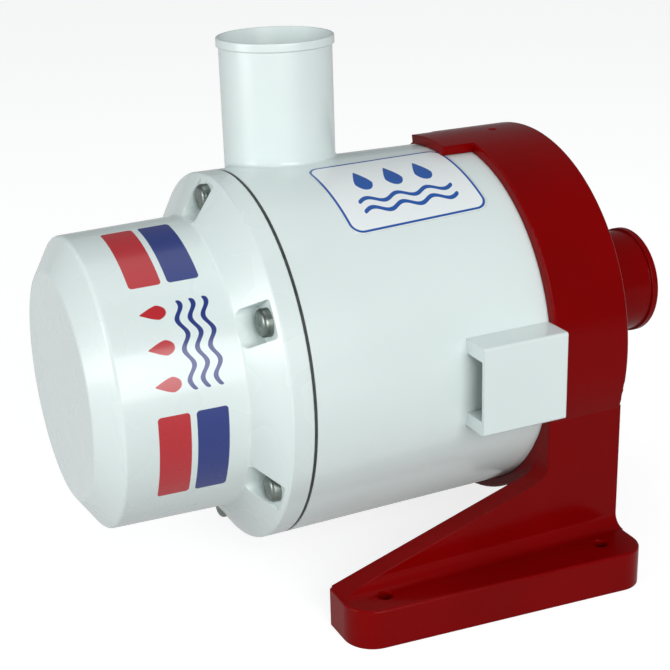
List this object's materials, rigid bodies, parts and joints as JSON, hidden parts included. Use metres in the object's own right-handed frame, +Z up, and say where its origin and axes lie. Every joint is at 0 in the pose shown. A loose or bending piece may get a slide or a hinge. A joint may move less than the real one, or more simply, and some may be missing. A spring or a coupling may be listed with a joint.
{
  "type": "bilge pump",
  "caption": "Horizontal centrifugal boat pump: sealed motor in a white casing with a screwed end cover, an upright outlet, and a red foot bracket that carries the inlet spigot.",
  "frame": {"origin": "on the mounting surface, under the middle of the overall length, on the centre plane of the feet", "axes": "+X along the pump axis from the closed end cover to the inlet spigot; +Z up; the labelled side of the casing faces -Y"},
  "size_m": [0.226, 0.166, 0.1843],
  "materials": {
    "white_plastic": "glossy moulded",
    "red_plastic": "glossy moulded",
    "black_plastic": "satin moulded",
    "impeller_plastic": "satin moulded",
    "dark_rubber": "matte",
    "label_film": "printed film",
    "steel_screws": "stainless",
    "brass": "plain",
    "plated_steel": "zinc plated",
    "ferrite": "ground ferrite",
    "spring_steel": "plain",
    "card": "phenolic card",
    "carbon": "carbon",
    "capacitor": "dipped",
    "lead_wire": "insulated",
    "shaft_steel": "ground stainless",
    "laminations": "stacked sheet",
    "copper": "enamelled wire",
    "copper_bars": "turned copper",
    "moulding": "moulded",
    "bearing_steel": "ground"
  },
  "bodies": {
    "pump_body": {"bearing_spring_washer": "spring_steel", "bracket": "red_plastic", "brush_card": "card", "brush_holders": "brass", "casing_label": "label_film", "cover_gasket": "dark_rubber", "cover_screws": "steel_screws", "end_cover": "white_plastic", "field_magnets": "ferrite", "flux_ring": "plated_steel", "front_bearing_outer": "bearing_steel", "front_end_bell": "plated_steel", "front_mount_ring": "dark_rubber", "guide_vane_ring": "white_plastic", "inlet_nozzle": "red_plastic", "inlet_o_ring": "dark_rubber", "lower_brush_spring": "spring_steel", "magnet_clips": "spring_steel", "motor_canister": "black_plastic", "motor_leads": "lead_wire", "motor_through_bolts": "plated_steel", "pump_casing": "white_plastic", "rear_bearing_outer": "bearing_steel", "rear_end_plate": "plated_steel", "rear_gasket": "dark_rubber", "rear_mount_ring": "dark_rubber", "seal_retainer": "plated_steel", "shaft_seals": "dark_rubber", "suction_cover": "white_plastic", "suction_cover_screws": "steel_screws", "suppression_capacitor": "capacitor", "threaded_inserts": "brass", "upper_brush_spring": "spring_steel", "wire_gland": "dark_rubber"},
    "rotor": {"motor_shaft": "shaft_steel", "armature_core": "laminations", "armature_windings": "copper", "commutator_hub": "moulding", "commutator_bars": "copper_bars", "front_bearing_inner": "bearing_steel", "rear_bearing_inner": "bearing_steel", "water_slinger": "dark_rubber", "impeller": "impeller_plastic", "impeller_washer": "shaft_steel", "impeller_nut": "brass"},
    "front_ball_set": {"front_bearing_balls": "bearing_steel", "front_bearing_cage": "brass"},
    "rear_ball_set": {"rear_bearing_balls": "bearing_steel", "rear_bearing_cage": "brass"},
    "upper_brush": {"upper_brush": "carbon"},
    "lower_brush": {"lower_brush": "carbon"}
  },
  "joints": [
    {"name": "rotor_spin", "type": "hinge", "parent": "pump_body", "child": "rotor", "pos_m": [0, 0, 0.08], "axis": [1, 0, 0], "continuous": true},
    {"name": "front_balls_orbit", "type": "hinge", "parent": "pump_body", "child": "front_ball_set", "pos_m": [0, 0, 0.08], "axis": [1, 0, 0], "continuous": true},
    {"name": "rear_balls_orbit", "type": "hinge", "parent": "pump_body", "child": "rear_ball_set", "pos_m": [0, 0, 0.08], "axis": [1, 0, 0], "continuous": true},
    {"name": "upper_brush_slide", "type": "slide", "parent": "pump_body", "child": "upper_brush", "axis": [0, 0, 1], "range_m": [0, 0.003], "stiffness_N_per_m": 150, "springref_m": -0.003, "deforming": ["upper_brush_spring"]},
    {"name": "lower_brush_slide", "type": "slide", "parent": "pump_body", "child": "lower_brush", "axis": [0, 0, -1], "range_m": [0, 0.003], "stiffness_N_per_m": 150, "springref_m": -0.003, "deforming": ["lower_brush_spring"]}
  ],
  "couplings": [
    {"joint": "front_balls_orbit", "follows": "rotor_spin", "ratio": 0.3661},
    {"joint": "rear_balls_orbit", "follows": "rotor_spin", "ratio": 0.3661}
  ]
}
